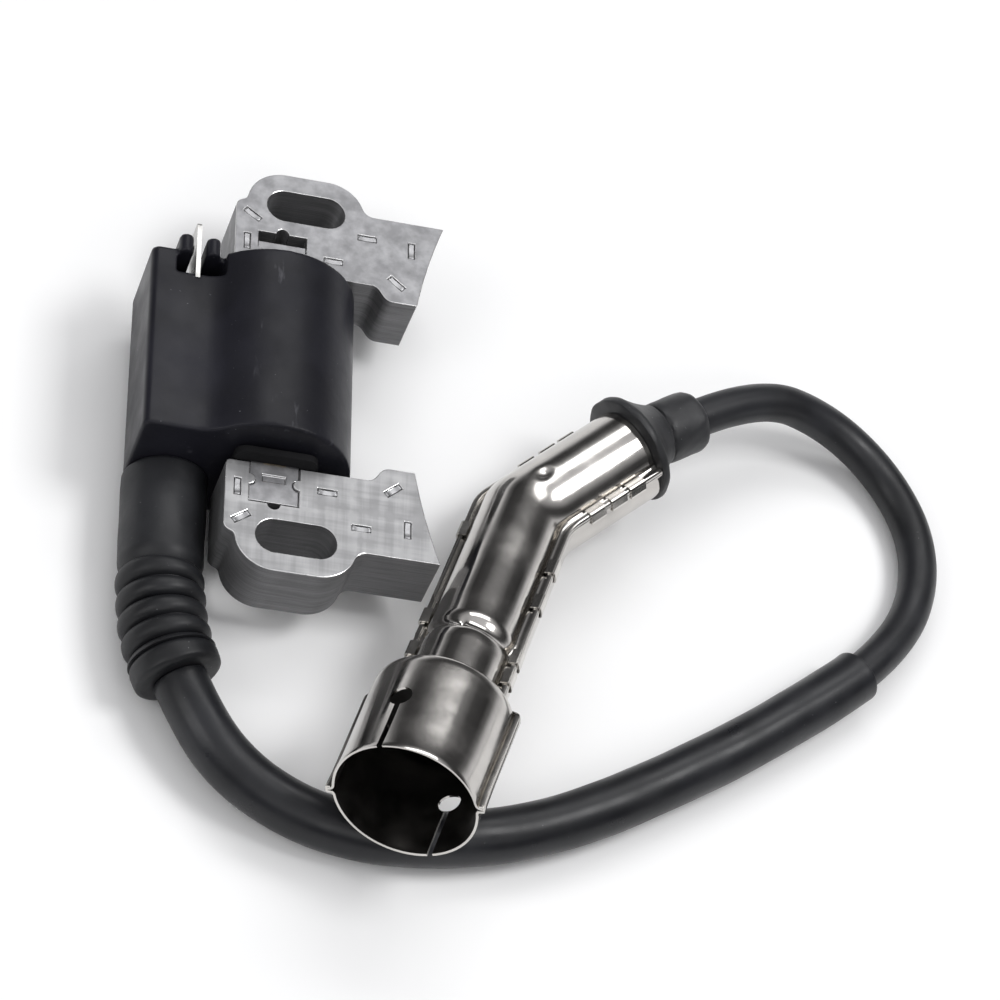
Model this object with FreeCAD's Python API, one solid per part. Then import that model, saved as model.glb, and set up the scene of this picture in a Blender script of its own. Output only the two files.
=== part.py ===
"""Flywheel ignition coil of a small petrol engine, with its high-tension lead and shielded plug cap.

The coil lies on its potted underside. X points from the case towards the flywheel, Y runs along
the core bar, from the lead's end of the case towards the kill tab, and Z points up. Millimetres.
"""

import FreeCAD, Part
import math
import os

V = FreeCAD.Vector
UP = V(0, 0, 1)
ALONG = V(0, 1, 0)

# Laminated core
SHEET = 0.5                      # thickness of one lamination
LEG_SHEETS = 25
BAR_SHEETS = 24
STACK = SHEET * LEG_SHEETS
CORE_TOP = 20.0
CORE_BOTTOM = CORE_TOP - STACK
LEG_LEFT = -12.7
LEG_INNER = 20.8                 # inner edge of each leg, from the coil's middle
LEG_OUTER = 35.8
PAD_INNER = 17.8                 # inner edge of the pole pad
POLE_RADIUS = 106.75             # the flywheel's rim plus the air gap
POLE_CENTRE_X = 125.9

# Mounting slots
SLOT_SPACING = 70.0
SLOT_WIDTH = 6.6
SLOT_LENGTH = 14.2
SLOT_Y = SLOT_SPACING / 2
LUG_RADIUS = 6.95                # the metal round each end of a slot
LUG_REACH = (SLOT_LENGTH - SLOT_WIDTH) / 2

# Core bar, keyed into a recess of each leg
BAR_X = -4.1
BAR_WIDTH = 8.7
KEY_Y = 24.1
KEY_RADIUS = 1.1
KEY_FIT = 0.03
NEAR_END = 28.2                  # the bar's end at the lead side
FAR_END = 26.8                   # the bar's end at the tab side
RECESS_END = 28.6

# Interlock dimples of a leg: x, distance from the middle, turn of the long side
DIMPLES = ((-10.5, 26.1, 90), (-9.7, 32.1, -35), (5.2, 24.6, 0),
           (11.3, 30.9, 0), (19.5, 29.8, 90), (16.8, 22.1, -40))
DIMPLE_LENGTH = 3.4
DIMPLE_WIDTH = 1.2
DIMPLE_DEPTH = 0.5

# Case
CASE_HALF = 18.7
CASE_WALL = 1.8
CASE_LEFT = -28.0
CASE_TOP = 24.0
CASE_CORNER = 1.4
DOME_X = -4.9
DOME_Z = 13.8
DOME_RADIUS = 15.1
VALLEY_RADIUS = 8.0
DOME_END_ANGLE = -35.0
BEVEL_Z = 6.6
FOOT_LEFT = -18.5
FOOT_RIGHT = 6.0

# Coil windings: half width, half height and corner radius of each rounded section
COIL_Z = 13.6
TUBE_BORE = (4.5, 6.4, 0.4)
TUBE_WALL = (5.6, 7.5, 1.4)
PRIMARY = (6.8, 8.7, 2.4)
SPOOL_BORE = (6.9, 8.8, 2.5)
SPOOL_WALL = (7.7, 9.6, 3.2)
SECONDARY = (9.7, 11.3, 5.4)
SPOOL_RIM = (10.1, 11.7, 6.6)
SPOOL_HALF = 15.6
RIM = 0.8
CHAMBERS = 6
FILL_GAP = 0.02                  # between the resin and the windings

# Control board and its parts, inside the case's flat side
BOARD_X = -21.5
BOARD_THICK = 1.6

# Kill terminal
TAB_X = -19.85
TAB_THICK = 0.8
TAB_WIDTH = 6.3
TAB_TIP = 25.3
TAB_ROOT = 11.55
TAB_CORNER = 0.8
TAB_SLOPE = 2.7                  # how far the root's top edge drops below the case's top
TAB_HOLE_AT = 4.2
TAB_HOLE = 0.9
POCKET_Y = 14.0
POCKET_LEFT = -23.6
POCKET_RIGHT = -15.0
POCKET_FLOOR = 17.2
POCKET_WALL = 1.5
RIB_WALL_Y = 17.5                # the ribs on each side of the terminal
RIB_WALL_END = 21.2
RIB_WALL_TOP = 25.5

# Lead, its outer sleeve and the bellows boot
LEAD_RADIUS = 3.5
CORE_WIRE = 0.6
SLEEVE_RADIUS = 4.9
SLEEVE_BORE = 3.6
SLEEVE_RUN = 7                   # the sleeve ends halfway along this run of the route
TOWER = V(-20.9, -CASE_HALF, 8.0)
TOWER_RADIUS = 5.4
TOWER_REACH = 8.0
BOOT_STRAIGHT = 19.3
BOOT_EXIT = V(-16.6, -58.6, 8.0)
BOOT_RADIUS = 7.55
RIB_RADIUS = 7.85
GROOVE_RADIUS = 6.9
RIB_FIRST = 21.9
RIB_PITCH = 3.75
RIBS = 5

# Plug cap: middle of the bell's mouth, of the elbow and of the shield's lead end
MOUTH = V(18.7, -84.9, 23.3)
ELBOW = V(42.4, -17.9, 12.5)
SHIELD_END = V(60.6, -2.4, 15.0)
LEAD_ENTRY = V(73.3, 6.6, 15.0)
SHELL = 0.55
BELL_RADIUS = 12.55
BELL_DEPTH = 22.6
UPPER_NECK = 7.7                 # radius of the upper half's tube
LOWER_NECK = 8.9                 # and of the lower half's, which holds it
FLANGE_RADIUS = 9.6
ARM_TABS = ((13.5, 1), (22.5, 1), (36.5, 1), (41.4, 1), (6.5, -1), (29.3, -1), (37.6, -1))
END_TABS = (8.9, 13.8, 18.2)     # distances from the elbow
SHOULDER = 1.9
CRIMP_AT = 36.9                  # from the mouth
CRIMP_WIDTH = 2.8
CRIMP_DEPTH = 0.6
KEYHOLE_RADIUS = 1.8
SLIT_WIDTH = 1.3
KEYHOLE_AT = 12.0
KEYHOLE_TURN = 14.0
SEAT = 20.9                      # depth of the insulator's face in the bell
SEAT_RADIUS = 10.6
SEAT_THICK = 1.1
CAP_CORE_RADIUS = 6.4
PLUG_BORE = 5.6
SPRING_START = 17.9              # from the elbow
SPRING_LENGTH = 5.1
SPRING_RADIUS = 2.2
SPRING_WIRE = 0.25
SPRING_CORNERS = 18
GROMMET_RADIUS = 10.35
COLLAR_RADIUS = 5.6
SWIVEL_GAP = 0.05                # between the cap's end of the lead and the free lead

# Route of the lead, from the boot to the plug cap
EXIT_TURN = 23.6
ROUTE = [
    BOOT_EXIT,
    V(-13.4, -65.93, 8.0),
    V(-5.7, -74.6, 6.4),
    V(8.0, -80.8, 4.95),
    V(26.0, -82.0, 4.95),
    V(50.0, -75.5, 4.95),
    V(76.0, -59.5, 4.95),
    V(96.0, -44.5, 4.95),
    V(109.5, -33.0, 4.95),
    V(118.6, -19.5, 3.55),
    V(120.3, -4.8, 3.55),
    V(114.3, 8.6, 4.0),
    V(102.2, 16.5, 7.7),
    V(86.41, 15.40, 14.52),
    LEAD_ENTRY,
]


def along(a, b, distance):
    """Point at a distance from a towards b."""
    return a + unit(b - a) * distance


def unit(v):
    return v / v.Length


def fuse(shapes):
    return shapes[0].fuse(shapes[1:]).removeSplitter()


def block(x0, x1, y0, y1, z0, z1):
    return Part.makeBox(x1 - x0, y1 - y0, z1 - z0, V(x0, y0, z0))


def rod(start, direction, radius, length):
    return Part.makeCylinder(radius, length, start, direction)


def rounded(points):
    """Closed wire through points (vertex, corner radius), with an arc at each corner."""
    edges = []
    ends = []
    count = len(points)
    for i, (corner, radius) in enumerate(points):
        before = unit(points[i - 1][0] - corner)
        after = unit(points[(i + 1) % count][0] - corner)
        half = before.getAngle(after) / 2
        if radius == 0:
            ends.append((corner, corner, corner))
            continue
        reach = radius / math.tan(half)
        middle = corner + unit(before + after) * (radius / math.sin(half) - radius)
        ends.append((corner + before * reach, middle, corner + after * reach))
    for i, (start, middle, end) in enumerate(ends):
        if (end - start).Length > 1e-6:
            edges.append(Part.Arc(start, middle, end).toShape())
        following = ends[(i + 1) % count][0]
        if (following - end).Length > 1e-6:
            edges.append(Part.LineSegment(end, following).toShape())
    return Part.Wire(edges)


def prism(wire, sweep):
    return Part.Face(wire).extrude(sweep)


def bend_edges(points, share=0.45):
    """Straight runs and the arcs between them; returns the edges and the arcs' radii."""
    edges = []
    radii = []
    start = points[0]
    for i in range(1, len(points) - 1):
        corner = points[i]
        reach = share * min((points[i - 1] - corner).Length, (points[i + 1] - corner).Length)
        before = unit(points[i - 1] - corner)
        after = unit(points[i + 1] - corner)
        half_turn = (math.pi - before.getAngle(after)) / 2
        radius = reach / math.tan(half_turn)
        a = corner + before * reach
        b = corner + after * reach
        middle = corner + unit(before + after) * (radius / math.cos(half_turn) - radius)
        edges.append(Part.LineSegment(start, a).toShape())
        edges.append(Part.Arc(a, middle, b).toShape())
        radii.append(radius)
        start = b
    edges.append(Part.LineSegment(start, points[-1]).toShape())
    return edges, radii


def tube_skin(edges, radius):
    """Side faces of a round tube along a chain of tangent edges, and the circles at its ends."""
    first = edges[0]
    ring = Part.makeCircle(radius, first.valueAt(first.FirstParameter),
                           first.tangentAt(first.FirstParameter))
    faces = []
    start = ring
    for edge in edges:
        if isinstance(edge.Curve, Part.Line):
            move = edge.valueAt(edge.LastParameter) - edge.valueAt(edge.FirstParameter)
            faces.append(ring.extrude(move))
            ring = ring.translated(move)
        else:
            turn = math.degrees(edge.Length / edge.Curve.Radius)
            faces.append(ring.revolve(edge.Curve.Center, edge.Curve.Axis, turn))
            ring = ring.rotated(edge.Curve.Center, edge.Curve.Axis, turn)
    return faces, Part.Face(Part.Wire([start])), Part.Face(Part.Wire([ring]))


def hose(edges, radius, bore=0):
    """Round tube along a chain of tangent edges, solid when it has no bore."""
    faces, start, end = tube_skin(edges, radius)
    if bore:
        inner, bore_start, bore_end = tube_skin(edges, bore)
        faces += inner
        start = start.cut(bore_start).Faces[0]
        end = end.cut(bore_end).Faces[0]
    shell = Part.makeShell(faces + [start, end])
    shell.sewShape()
    solid = Part.makeSolid(shell)
    if solid.Volume < 0:
        solid.reverse()
    return solid


# ---------------------------------------------------------------- core

def lug_corner(side, lean, y):
    """Where the lug's flank, leaning in by lean degrees, meets the line at height y."""
    turn = math.radians(lean)
    x = LUG_REACH + LUG_RADIUS * math.cos(turn)
    height = SLOT_Y + LUG_RADIUS * math.sin(turn)
    return V(side * (x - math.tan(turn) * (y - height)), y, CORE_BOTTOM)


def leg_outline():
    """Outline of the leg on the +Y side, before the pole face is cut."""
    top = SLOT_Y + LUG_RADIUS
    z = CORE_BOTTOM
    return rounded([
        (V(LEG_LEFT, LEG_INNER, z), 0.8),
        (V(LEG_LEFT, 34.6, z), 1.6),
        (lug_corner(-1, 12, 35.5), 0.9),
        (lug_corner(-1, 12, top), LUG_RADIUS),
        (lug_corner(1, 20, top), LUG_RADIUS),
        (lug_corner(1, 20, LEG_OUTER), 2.3),
        (V(30.0, LEG_OUTER, z), 0),
        (V(30.0, PAD_INNER, z), 0),
        (V(15.1, PAD_INNER, z), 2.2),
        (V(13.1, LEG_INNER, z), 2.0),
    ])


def bar_outline(low, high, grow):
    """Bar from y=low to y=high with a round key notch on each side where the legs grip it."""
    half = BAR_WIDTH / 2 + grow
    body = block(BAR_X - half, BAR_X + half, low - grow, high + grow, CORE_BOTTOM, CORE_TOP)
    for y in (-KEY_Y, KEY_Y):
        if low < y < high:
            for side in (-1, 1):
                at = V(BAR_X + side * half, y, CORE_BOTTOM)
                body = body.cut(rod(at, UP, KEY_RADIUS - grow, STACK))
    return body


def leg(side):
    """One pole leg: side 1 is the tab end, side -1 the lead end."""
    body = prism(leg_outline(), UP * STACK)
    body = body.cut(rod(V(POLE_CENTRE_X, 0, CORE_BOTTOM), UP, POLE_RADIUS, STACK))
    ends = [rod(V(dx, SLOT_Y, CORE_BOTTOM), UP, SLOT_WIDTH / 2, STACK)
            for dx in (-LUG_REACH, LUG_REACH)]
    middle = block(-LUG_REACH, LUG_REACH, SLOT_Y - SLOT_WIDTH / 2, SLOT_Y + SLOT_WIDTH / 2,
                   CORE_BOTTOM, CORE_TOP)
    body = body.cut(fuse(ends + [middle]))
    recess = bar_outline(0, RECESS_END, KEY_FIT)
    relief = rod(V(BAR_X, RECESS_END, CORE_BOTTOM), UP, KEY_RADIUS, STACK)
    body = body.cut(recess.fuse(relief))
    for x, y, turn in DIMPLES:
        slot = block(-DIMPLE_LENGTH / 2, DIMPLE_LENGTH / 2, -DIMPLE_WIDTH / 2, DIMPLE_WIDTH / 2,
                     -DIMPLE_DEPTH, DIMPLE_DEPTH)
        slot.rotate(V(0, 0, 0), UP, turn)
        slot.translate(V(x, y, CORE_TOP))
        body = body.cut(slot)
    if side < 0:
        body = body.mirror(V(0, 0, 0), ALONG)
    return body


def bar():
    body = bar_outline(-NEAR_END, FAR_END, 0)
    spare = STACK - SHEET * BAR_SHEETS
    top = block(-20, 20, -40, 40, CORE_TOP - spare, CORE_TOP + 1)
    stamp = block(BAR_X - 2.0, BAR_X + 2.0, -24.0, -22.6, CORE_TOP - spare - 0.3, CORE_TOP)
    return body.cut(top.fuse(stamp))


# ---------------------------------------------------------------- case

def case_outline(inset, y):
    """Section of the case at depth y, drawn inset inwards from all but its open underside."""
    radius = DOME_RADIUS - inset
    fillet = VALLEY_RADIUS + inset
    top = CASE_TOP - inset
    left = CASE_LEFT + inset
    rise = top + fillet - DOME_Z
    reach = math.sqrt((radius + fillet) ** 2 - rise ** 2)
    valley = V(DOME_X - reach, y, top + fillet)
    dome = V(DOME_X, y, DOME_Z)
    joined = along(dome, valley, radius)
    turn = math.radians(DOME_END_ANGLE)
    dome_end = dome + V(math.cos(turn), 0, math.sin(turn)) * radius
    foot_right = V(FOOT_RIGHT - inset, y, 0)
    foot_left = V(FOOT_LEFT + inset, y, 0)
    bevel = V(left, y, BEVEL_Z)
    corner = max(CASE_CORNER - inset, 0.2)
    shoulder = V(left + corner, y, top - corner)
    diagonal = corner / math.sqrt(2)
    halfway = unit(unit(valley - dome) * -1 - UP)
    return Part.Wire([
        Part.LineSegment(bevel, V(left, y, top - corner)).toShape(),
        Part.Arc(V(left, y, top - corner), shoulder + V(-diagonal, 0, diagonal),
                 V(left + corner, y, top)).toShape(),
        Part.LineSegment(V(left + corner, y, top), V(valley.x, y, top)).toShape(),
        Part.Arc(V(valley.x, y, top), valley + halfway * fillet, joined).toShape(),
        Part.Arc(joined, dome + UP * radius, dome_end).toShape(),
        Part.LineSegment(dome_end, foot_right).toShape(),
        Part.LineSegment(foot_right, foot_left).toShape(),
        Part.LineSegment(foot_left, bevel).toShape(),
    ])


def spool_space():
    """The secondary spool's outer shape with a little room round it."""
    half_x, half_z, corner = SPOOL_RIM
    size = (half_x + FILL_GAP, half_z + FILL_GAP, corner)
    return coil_block(size, 2 * (SPOOL_HALF + FILL_GAP), -SPOOL_HALF - FILL_GAP)


def case_cavity():
    """Inside of the case, clear of the walls round the terminal's pocket."""
    depth = 2 * (CASE_HALF - CASE_WALL)
    hollow = prism(case_outline(CASE_WALL, CASE_WALL - CASE_HALF), ALONG * depth)
    walls = block(POCKET_LEFT - POCKET_WALL, POCKET_RIGHT + POCKET_WALL, POCKET_Y - POCKET_WALL,
                  CASE_HALF, POCKET_FLOOR - POCKET_WALL, CASE_TOP + CASE_WALL)
    return hollow.cut(walls.cut(spool_space()))


def tower():
    """Stub round the lead's end, hidden in the boot."""
    return rod(TOWER + V(0, 1, 0), ALONG * -1, TOWER_RADIUS, TOWER_REACH + 1)


def rib_wall(x0, x1, outer):
    """Round-topped rib beside the kill tab, and the low wall that joins it to the case at x=outer."""
    radius = (x1 - x0) / 2
    centre = V((x0 + x1) / 2, RIB_WALL_Y, RIB_WALL_TOP - radius)
    low = POCKET_FLOOR - 0.2
    ridge = rod(centre, ALONG, radius, RIB_WALL_END - RIB_WALL_Y)
    post = block(x0, x1, RIB_WALL_Y, RIB_WALL_END, low, centre.z)
    wall = block(min(x0, outer), max(x1, outer), RIB_WALL_Y, CASE_HALF, low, CASE_TOP - 0.4)
    return fuse([ridge, post, wall])


def case():
    body = prism(case_outline(0, -CASE_HALF), ALONG * 2 * CASE_HALF)
    body = body.cut(case_cavity())
    body = body.cut(block(POCKET_LEFT, POCKET_RIGHT, POCKET_Y, 25, POCKET_FLOOR, 40))
    body = fuse([body, rib_wall(-23.4, -20.9, POCKET_LEFT - 0.2),
                 rib_wall(-18.6, -16.1, POCKET_RIGHT + 0.2), tower()])
    half_x, half_z, corner = TUBE_WALL
    body = body.cut(coil_block((half_x + 0.05, half_z + 0.05, corner), 40, -20))
    body = body.cut(rod(TOWER + V(0, 12, 0), ALONG * -1, LEAD_RADIUS + 0.05, 30))
    return body.cut(kill_tab())


def resin(pieces):
    """Resin that fills the case round its pieces, flush with the open underside."""
    half_x, half_z, corner = TUBE_WALL
    tube = coil_block((half_x + FILL_GAP, half_z + FILL_GAP, corner), 40, -20)
    body = case_cavity()
    for piece in [spool_space(), tube] + pieces:
        body = body.cut(piece)
    return max(body.Solids, key=lambda solid: solid.Volume)


# ---------------------------------------------------------------- windings

def section(size, y):
    half_x, half_z, corner = size
    return rounded([
        (V(BAR_X - half_x, y, COIL_Z - half_z), corner),
        (V(BAR_X + half_x, y, COIL_Z - half_z), corner),
        (V(BAR_X + half_x, y, COIL_Z + half_z), corner),
        (V(BAR_X - half_x, y, COIL_Z + half_z), corner),
    ])


def coil_block(size, length, start):
    return prism(section(size, start), ALONG * length)


def ring(outer, inner, length, start):
    return coil_block(outer, length, start).cut(coil_block(inner, length, start))


def primary_bobbin():
    """Tube on the bar, with an end plate in the gap between the case and each leg."""
    reach = LEG_INNER - 0.15
    half_x, half_z, corner = TUBE_WALL
    plate = (half_x + 1.7, half_z + 1.6, corner + 0.6)
    tube = ring(TUBE_WALL, TUBE_BORE, 2 * reach, -reach)
    plates = [ring(plate, TUBE_BORE, 1.3, y) for y in (-reach, reach - 1.3)]
    return fuse([tube] + plates)


def secondary_spool():
    rims = [SPOOL_HALF * (2 * i / CHAMBERS - 1) - (RIM if i == CHAMBERS else 0)
            for i in range(CHAMBERS + 1)]
    wall = ring(SPOOL_WALL, SPOOL_BORE, 2 * SPOOL_HALF, -SPOOL_HALF)
    return fuse([wall] + [ring(SPOOL_RIM, SPOOL_BORE, RIM, y) for y in rims]), rims


def secondary_winding(rims):
    packs = []
    for low, high in zip(rims, rims[1:]):
        start = low + RIM + 0.02
        packs.append(ring(SECONDARY, SPOOL_WALL, high - 0.02 - start, start))
    return Part.makeCompound(packs)


# ---------------------------------------------------------------- control parts

def board():
    """Bare board, upright on the flat side of the coil."""
    return block(BOARD_X, BOARD_X + BOARD_THICK, -9.5, 11.5, 4.6, 21.0)


def transistor():
    """Flat power transistor on the board's outer face, standing on three legs."""
    body = block(BOARD_X - 4.4, BOARD_X, -8, 2, 8.6, 18.0)
    legs = [block(BOARD_X - 2.4, BOARD_X - 1.6, y - 0.4, y + 0.4, 5.4, 8.6)
            for y in (-5.5, -3.0, -0.5)]
    return fuse([body] + legs)


def board_parts():
    """Capacitor, diode and three resistors on the board's inner face."""
    x = BOARD_X + BOARD_THICK
    capacitor = rod(V(x, 5.5, 16.2), V(1, 0, 0), 2.2, 1.9)
    resistors = [rod(V(x + 1.1, y, z), UP, 1.05, 5.0) for y, z in ((-7, 8), (-3.6, 8), (8, 6.5))]
    diode = rod(V(x + 1.1, -1, 7.4), ALONG, 1.05, 5.2)
    return Part.makeCompound([capacitor, diode] + resistors)


def kill_tab():
    """Spade terminal with a latch hole, from the board's end to beyond the case."""
    x = TAB_X - TAB_THICK / 2
    low = CASE_TOP - TAB_WIDTH
    outline = rounded([
        (V(x, TAB_ROOT, low), 0),
        (V(x, TAB_TIP, low), TAB_CORNER),
        (V(x, TAB_TIP, CASE_TOP), TAB_CORNER),
        (V(x, TAB_ROOT, CASE_TOP - TAB_SLOPE), 0),
    ])
    blade = prism(outline, V(TAB_THICK, 0, 0))
    square = block(x, x + TAB_THICK, TAB_ROOT + 1.65, TAB_TIP - 1, low, CASE_TOP)
    hole = rod(V(x, TAB_TIP - TAB_HOLE_AT, low + TAB_WIDTH / 2), V(1, 0, 0), TAB_HOLE, TAB_THICK)
    return fuse([blade, square]).cut(hole)


def earth_clip():
    """Spring strip that joins the board to the bar through the bobbin's end."""
    return block(BAR_X - 2.0, BAR_X + 2.0, 0.4 - LEG_INNER, -9.0, 19.6, 19.9)


def output_pin():
    return rod(TOWER + V(0, 8.4, 0), ALONG * -1, 0.8, 5.0)


# ---------------------------------------------------------------- boot and lead

def boot_edges(start, end):
    """Middle line of the boot between two distances from the case."""
    turn = math.radians(EXIT_TURN)
    radius = (BOOT_EXIT.x - TOWER.x) / (1 - math.cos(turn))
    edges = []
    if start < BOOT_STRAIGHT:
        edges.append(Part.LineSegment(boot_point(start)[0],
                                      boot_point(min(end, BOOT_STRAIGHT))[0]).toShape())
    if end > BOOT_STRAIGHT:
        first = max(start, BOOT_STRAIGHT)
        edges.append(Part.Arc(boot_point(first)[0], boot_point((first + end) / 2)[0],
                              boot_point(end)[0]).toShape())
    return edges, BOOT_STRAIGHT + radius * turn


def boot_point(distance):
    """Point and direction on the boot's middle line: straight, then a gentle turn to the exit."""
    if distance <= BOOT_STRAIGHT:
        return TOWER - ALONG * distance, ALONG * -1
    turn = math.radians(EXIT_TURN)
    radius = (BOOT_EXIT.x - TOWER.x) / (1 - math.cos(turn))
    angle = (distance - BOOT_STRAIGHT) / radius
    offset = V(radius * (1 - math.cos(angle)), -radius * math.sin(angle), 0)
    direction = V(math.sin(angle), -math.cos(angle), 0)
    return TOWER - ALONG * BOOT_STRAIGHT + offset, direction


def boot_rib(distance, width, radius):
    at, direction = boot_point(distance)
    disc = rod(at - direction * (width / 2), direction, radius, width)
    rims = [edge for edge in disc.Edges if edge.Closed and edge.Length > 6 * radius]
    return disc.makeFillet(width * 0.3, rims)


def boot():
    length = boot_edges(0, 1)[1]
    smooth = hose(boot_edges(0, 18.6)[0], BOOT_RADIUS)
    core = hose(boot_edges(0, length - 1.6)[0], GROOVE_RADIUS)
    ribs = [boot_rib(RIB_FIRST + i * RIB_PITCH, 2.7, RIB_RADIUS) for i in range(RIBS)]
    collar = boot_rib(length - 1.6, 2.7, RIB_RADIUS)
    body = fuse([smooth, core, collar] + ribs)
    body = body.cut(rod(TOWER + V(0, 1, 0), ALONG * -1, 5.45, 9.1))
    return body.cut(hose(boot_edges(0, length)[0], LEAD_RADIUS + 0.03))


def wire_and_jacket(edges):
    """Copper core and rubber jacket along the same edges."""
    core = hose(edges, CORE_WIRE)
    jacket = hose(edges, LEAD_RADIUS, CORE_WIRE)
    return core, jacket


def coil_end():
    """Lead from the output pin through the boot to its exit."""
    length = boot_edges(0, 1)[1]
    start = Part.LineSegment(TOWER + V(0, 3.3, 0), TOWER).toShape()
    return wire_and_jacket([start] + boot_edges(0, length)[0])


def sleeve_edges(edges):
    """The route's edges up to the sleeve's end, halfway along a straight run."""
    last = edges[2 * SLEEVE_RUN]
    start = last.valueAt(last.FirstParameter)
    end = last.valueAt(last.LastParameter)
    middle = (start + end) * 0.5
    return edges[:2 * SLEEVE_RUN] + [Part.LineSegment(start, middle).toShape()]


def sleeve(edges):
    route = sleeve_edges(edges)
    return hose(route, SLEEVE_RADIUS, SLEEVE_BORE)


# ---------------------------------------------------------------- plug cap
# Built with the elbow at the origin, +X towards the bell's mouth and +Z across the shell's seam.

def cap_frame():
    """Placement of the cap, the bend's angle and the lengths of its two arms."""
    lower = MOUTH - ELBOW
    upper = SHIELD_END - ELBOW
    x = unit(lower)
    z = unit(lower.cross(upper))
    y = z.cross(x)
    matrix = FreeCAD.Matrix(x.x, y.x, z.x, ELBOW.x, x.y, y.y, z.y, ELBOW.y,
                            x.z, y.z, z.z, ELBOW.z, 0, 0, 0, 1)
    return matrix, upper.getAngle(lower), lower.Length, upper.Length


CAP_MATRIX, BEND, ARM, UPPER = cap_frame()
X = V(1, 0, 0)
UPPER_WAY = V(math.cos(BEND), math.sin(BEND), 0)
BIG = 60.0


def placed(shape):
    copy = shape.copy()
    copy.transformShape(CAP_MATRIX, True)
    return copy


def local(point):
    return CAP_MATRIX.inverse() * point


def mitre(side):
    """Block on one side of the elbow's mitre plane: side 1 holds the lower arm."""
    body = Part.makeBox(BIG * 2, BIG * 4, BIG * 4, V(0, -2 * BIG, -2 * BIG))
    turn = math.degrees(BEND) / 2 - 90
    if side < 0:
        turn += 180
    body.rotate(V(0, 0, 0), UP, turn)
    return body


def turned(profile, angle):
    """Solid of revolution about the lower arm from a profile of (distance from mouth, radius)."""
    points = [V(ARM - s, r, 0) for s, r in profile]
    face = Part.Face(Part.makePolygon(points + [points[0]]))
    return face.revolve(V(0, 0, 0), X, angle)


def shell_profile(neck, thin):
    """Radius along the lower arm, from the mouth past the elbow, less a thickness."""
    crimp = CRIMP_AT - CRIMP_WIDTH / 2
    return [
        (0, BELL_RADIUS - thin),
        (BELL_DEPTH - thin - 1.2, BELL_RADIUS - thin),
        (BELL_DEPTH - thin, BELL_RADIUS - thin - 0.9),
        (BELL_DEPTH - thin + SHOULDER, neck - thin),
        (crimp, neck - thin),
        (crimp + 0.7, neck - thin - CRIMP_DEPTH),
        (crimp + CRIMP_WIDTH - 0.7, neck - thin - CRIMP_DEPTH),
        (crimp + CRIMP_WIDTH, neck - thin),
        (ARM + 12, neck - thin),
    ]


def half_shell(side, neck):
    """Half of the shield: side 1 above the seam, side -1 below it."""
    wall = turned(shell_profile(neck, 0) + shell_profile(neck, SHELL)[::-1], 180 * side)
    half = Part.makeBox(BIG * 4, BIG * 4, BIG, V(-2 * BIG, -2 * BIG, 0 if side > 0 else -BIG))
    tube = rod(UPPER_WAY * -12, UPPER_WAY, neck, UPPER + 12)
    tube = tube.cut(rod(UPPER_WAY * -13, UPPER_WAY, neck - SHELL, UPPER + 14))
    return fuse([wall.common(mitre(1)), tube.common(mitre(-1)).common(half)])


def flange(neck, reach, low, high):
    """Flat strip along the seam on both sides of the shield, between two heights."""
    neck_end = ARM - BELL_DEPTH - SHOULDER - 0.2
    lower = Part.makeBox(neck_end + 12, 2 * reach, high - low, V(-12, -reach, low))
    bore = rod(V(-13, 0, 0), X, neck - 0.2, neck_end + 30)
    upper = Part.makeBox(UPPER + 12, 2 * reach, high - low, V(-12, -reach, low))
    upper.rotate(V(0, 0, 0), UP, math.degrees(BEND))
    upper_bore = rod(UPPER_WAY * -13, UPPER_WAY, neck - 0.2, UPPER + 30)
    return [lower.common(mitre(1)).cut(bore), upper.common(mitre(-1)).cut(upper_bore)]


def keyholes():
    """Keyhole slots across the bell's mouth that let it spring open."""
    hole = rod(V(ARM - KEYHOLE_AT, 0, -BIG / 2), UP, KEYHOLE_RADIUS, BIG)
    slit = Part.makeBox(KEYHOLE_AT + 1, SLIT_WIDTH, BIG,
                        V(ARM - KEYHOLE_AT, -SLIT_WIDTH / 2, -BIG / 2))
    cutter = fuse([hole, slit])
    cutter.rotate(V(0, 0, 0), X, KEYHOLE_TURN)
    return cutter


def tabs():
    """Tabs of the lower half folded over the upper half's flange."""
    reach = FLANGE_RADIUS - 0.05
    arm = [hook(distance, side * reach) for distance, side in ARM_TABS]
    end = Part.makeCompound([hook(distance, side * reach) for distance in END_TABS
                             for side in (-1, 1)])
    end.rotate(V(0, 0, 0), UP, math.degrees(BEND))
    return arm + end.Solids


def hook(distance, y):
    """One folded tab, 3.4 mm long, at a distance along an arm and on one side of it."""
    inward = -0.95 if y > 0 else 0.95
    outer = min(y, y + inward)
    over = block(distance - 1.7, distance + 1.7, outer, outer + 0.95, 0.56, 0.96)
    edge = y - 0.02 if y > 0 else y - 0.38
    side = block(distance - 1.7, distance + 1.7, edge, edge + 0.4, -0.5, 0.96)
    return over.fuse(side).removeSplitter()


def shield_halves():
    upper = fuse([half_shell(1, UPPER_NECK)] + flange(UPPER_NECK, FLANGE_RADIUS - 0.1, 0.02, 0.52))
    lower = fuse([half_shell(-1, LOWER_NECK)] + flange(LOWER_NECK, FLANGE_RADIUS, -0.52, -0.02)
                 + tabs())
    cutter = keyholes()
    seam = Part.makeBox(BIG * 4, BIG * 4, 0.02, V(-2 * BIG, -2 * BIG, 0))
    return upper.cut(cutter).cut(seam), lower.cut(cutter)


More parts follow.
